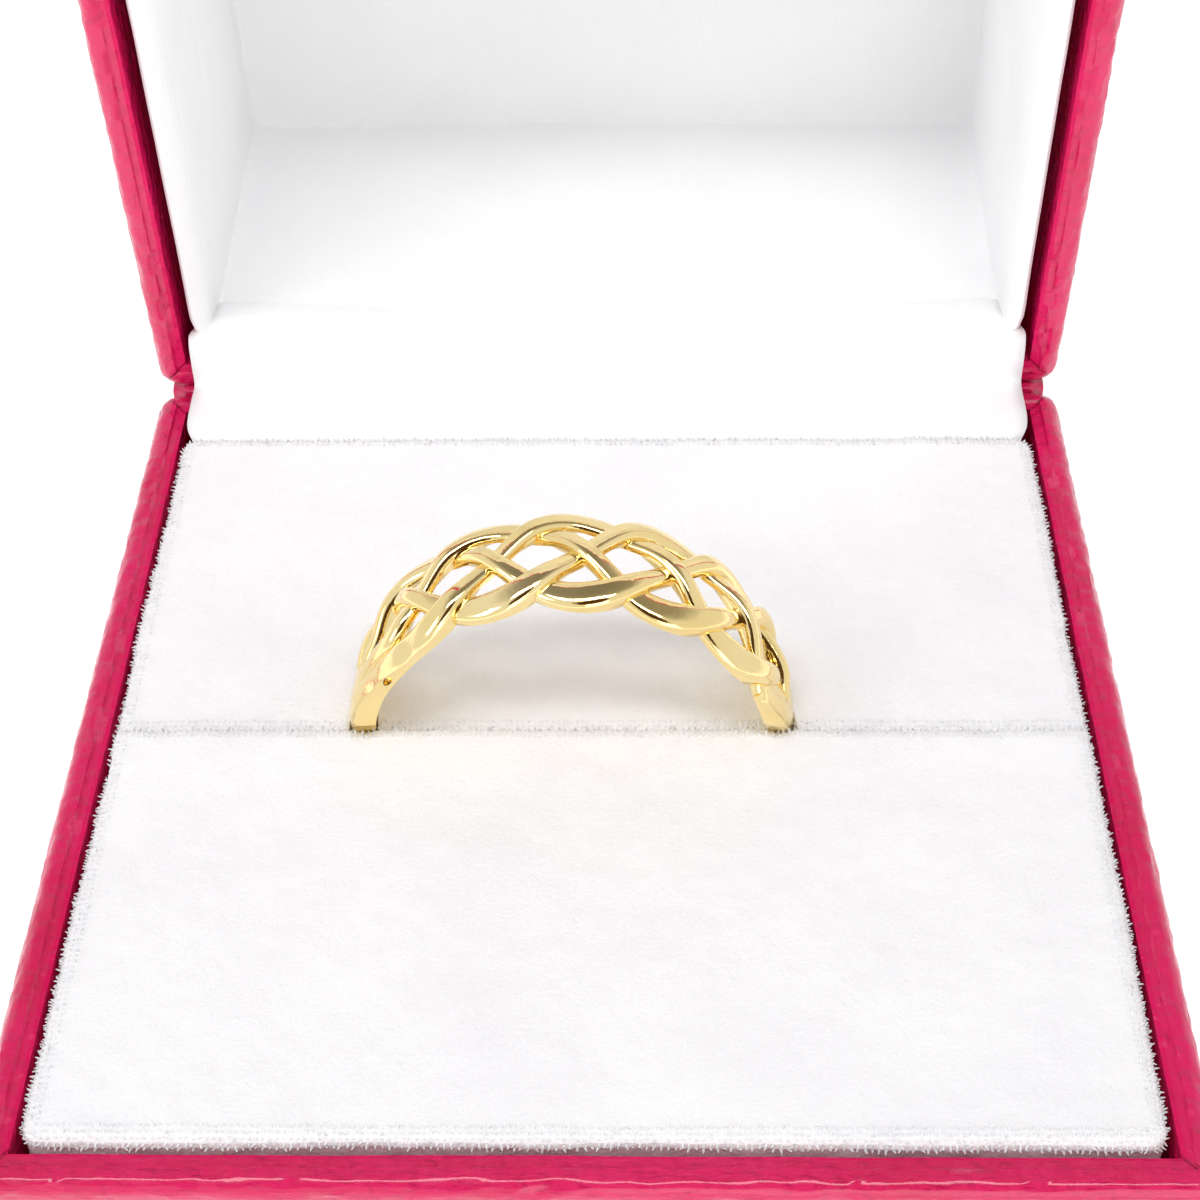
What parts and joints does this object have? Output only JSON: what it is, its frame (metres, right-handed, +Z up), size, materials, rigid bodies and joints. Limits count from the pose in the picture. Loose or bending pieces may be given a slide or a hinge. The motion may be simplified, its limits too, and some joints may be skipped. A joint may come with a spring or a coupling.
{
  "type": "braided band ring in ring box",
  "caption": "Openwork braided half-band ring with a plain shank, standing in the slot between two velvet pads of an open square hinged ring box.",
  "frame": {"origin": "centre of the box base's flat underside", "axes": "+Z up through the open box, +Y from the front towards the hinge, +X to the right seen from the front; the ring's finger axis lies near Y"},
  "size_m": [0.0482, 0.0705, 0.07],
  "materials": {
    "gold": "polished yellow gold",
    "leatherette": "semi-gloss crimson leatherette",
    "velvet": "short white velvet pile",
    "satin": "white satin"
  },
  "bodies": {
    "base": {"ring": "gold", "base_shell": "leatherette", "front_pad": "velvet", "back_pad": "velvet", "hinge_flap": "satin"},
    "lid": {"lid_shell": "leatherette", "lid_lining": "satin"}
  },
  "joints": [
    {"name": "lid_hinge", "type": "hinge", "parent": "base", "child": "lid", "pos_m": [0, 0.0242, 0.02015], "axis": [1, 0, 0], "range_deg": [0, 86]}
  ]
}
